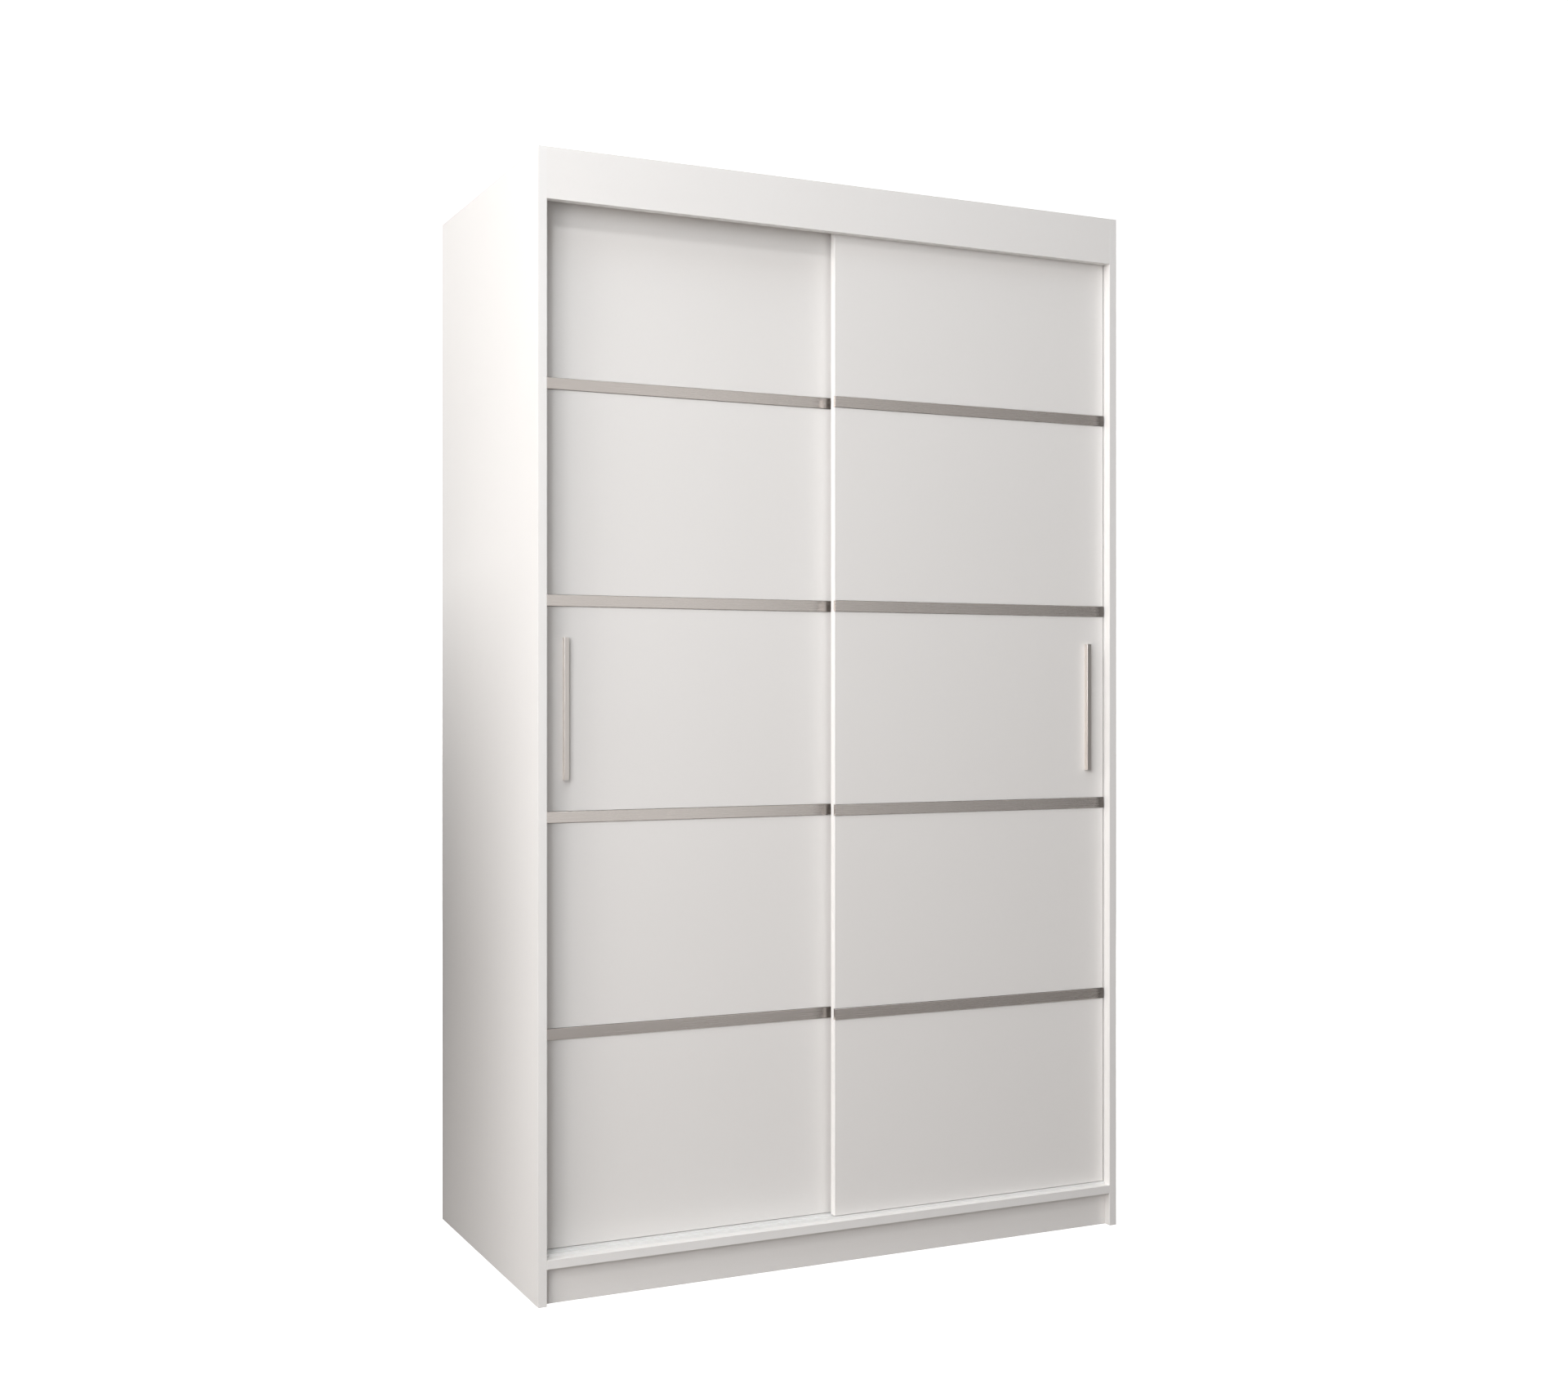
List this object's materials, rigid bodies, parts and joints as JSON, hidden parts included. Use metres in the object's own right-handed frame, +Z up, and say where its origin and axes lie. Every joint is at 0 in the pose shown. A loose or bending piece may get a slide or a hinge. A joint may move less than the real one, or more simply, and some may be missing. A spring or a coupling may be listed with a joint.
{
  "type": "sliding door wardrobe",
  "caption": "Tall white wardrobe with sliding doors running past each other, satin cross trims, slim bar handles, shelves in one bay and a hanging rail in the other.",
  "frame": {"origin": "middle of the footprint, on the floor", "axes": "+X to the right for someone facing the doors, +Y to the back, +Z up; the doors slide along X"},
  "size_m": [1.2, 0.62, 2],
  "materials": {
    "white_laminate": "satin white melamine on chipboard, edge-banded in the same white",
    "white_back": "white-lacquered thin fibreboard",
    "white_plastic": "moulded white plastic",
    "grey_plastic": "moulded mid-grey plastic",
    "chrome": "bright chrome plate",
    "aluminium_track": "extruded, clear anodised",
    "satin_trim": "satin grey metal, brushed lengthwise",
    "satin_handle": "satin metal, brushed lengthwise",
    "steel": "zinc-plated steel"
  },
  "bodies": {
    "carcass": {"left_side_panel": "white_laminate", "right_side_panel": "white_laminate", "top_panel": "white_laminate", "fascia": "white_laminate", "bottom_panel": "white_laminate", "front_plinth": "white_laminate", "rear_plinth": "white_laminate", "plinth_brace": "white_laminate", "centre_partition": "white_laminate", "shelf_1": "white_laminate", "shelf_2": "white_laminate", "shelf_3": "white_laminate", "shelf_4": "white_laminate", "hat_shelf": "white_laminate", "left_back_sheet": "white_back", "right_back_sheet": "white_back", "back_joining_strip": "white_plastic", "hanging_rail": "chrome", "rail_bracket_left": "grey_plastic", "rail_bracket_right": "grey_plastic", "bottom_track": "aluminium_track", "top_track": "aluminium_track", "left_door_stop_left": "white_plastic", "left_door_stop_right": "white_plastic", "right_door_stop_left": "white_plastic", "right_door_stop_right": "white_plastic"},
    "left_door": {"left_door_board": "white_laminate", "left_door_trim_1": "satin_trim", "left_door_trim_2": "satin_trim", "left_door_trim_3": "satin_trim", "left_door_trim_4": "satin_trim", "left_door_handle": "satin_handle", "left_door_handle_screw_lower": "steel", "left_door_handle_screw_upper": "steel", "left_door_roller_housing_left": "grey_plastic", "left_door_axle_left": "steel", "left_door_top_guide_left": "grey_plastic", "left_door_roller_housing_right": "grey_plastic", "left_door_axle_right": "steel", "left_door_top_guide_right": "grey_plastic"},
    "left_door_wheel_left": {"left_door_wheel_left": "white_plastic"},
    "left_door_wheel_right": {"left_door_wheel_right": "white_plastic"},
    "right_door": {"right_door_board": "white_laminate", "right_door_trim_1": "satin_trim", "right_door_trim_2": "satin_trim", "right_door_trim_3": "satin_trim", "right_door_trim_4": "satin_trim", "right_door_handle": "satin_handle", "right_door_handle_screw_lower": "steel", "right_door_handle_screw_upper": "steel", "right_door_roller_housing_left": "grey_plastic", "right_door_axle_left": "steel", "right_door_top_guide_left": "grey_plastic", "right_door_roller_housing_right": "grey_plastic", "right_door_axle_right": "steel", "right_door_top_guide_right": "grey_plastic"},
    "right_door_wheel_left": {"right_door_wheel_left": "white_plastic"},
    "right_door_wheel_right": {"right_door_wheel_right": "white_plastic"}
  },
  "joints": [
    {"name": "left_door_slide", "type": "slide", "parent": "carcass", "child": "left_door", "axis": [1, 0, 0], "range_m": [0, 0.564]},
    {"name": "left_door_wheel_left_spin", "type": "hinge", "parent": "left_door", "child": "left_door_wheel_left", "pos_m": [-0.532, -0.242, 0.0958], "axis": [0, 1, 0], "continuous": true},
    {"name": "left_door_wheel_right_spin", "type": "hinge", "parent": "left_door", "child": "left_door_wheel_right", "pos_m": [-0.032, -0.242, 0.0958], "axis": [0, 1, 0], "continuous": true},
    {"name": "right_door_slide", "type": "slide", "parent": "carcass", "child": "right_door", "axis": [1, 0, 0], "range_m": [-0.564, 0]},
    {"name": "right_door_wheel_left_spin", "type": "hinge", "parent": "right_door", "child": "right_door_wheel_left", "pos_m": [0.032, -0.27, 0.0958], "axis": [0, 1, 0], "continuous": true},
    {"name": "right_door_wheel_right_spin", "type": "hinge", "parent": "right_door", "child": "right_door_wheel_right", "pos_m": [0.532, -0.27, 0.0958], "axis": [0, 1, 0], "continuous": true}
  ],
  "couplings": [
    {"joint": "left_door_wheel_left_spin", "follows": "left_door_slide", "rad_per_m": 90.909},
    {"joint": "left_door_wheel_right_spin", "follows": "left_door_slide", "rad_per_m": 90.909},
    {"joint": "right_door_wheel_left_spin", "follows": "right_door_slide", "rad_per_m": 90.909},
    {"joint": "right_door_wheel_right_spin", "follows": "right_door_slide", "rad_per_m": 90.909}
  ]
}
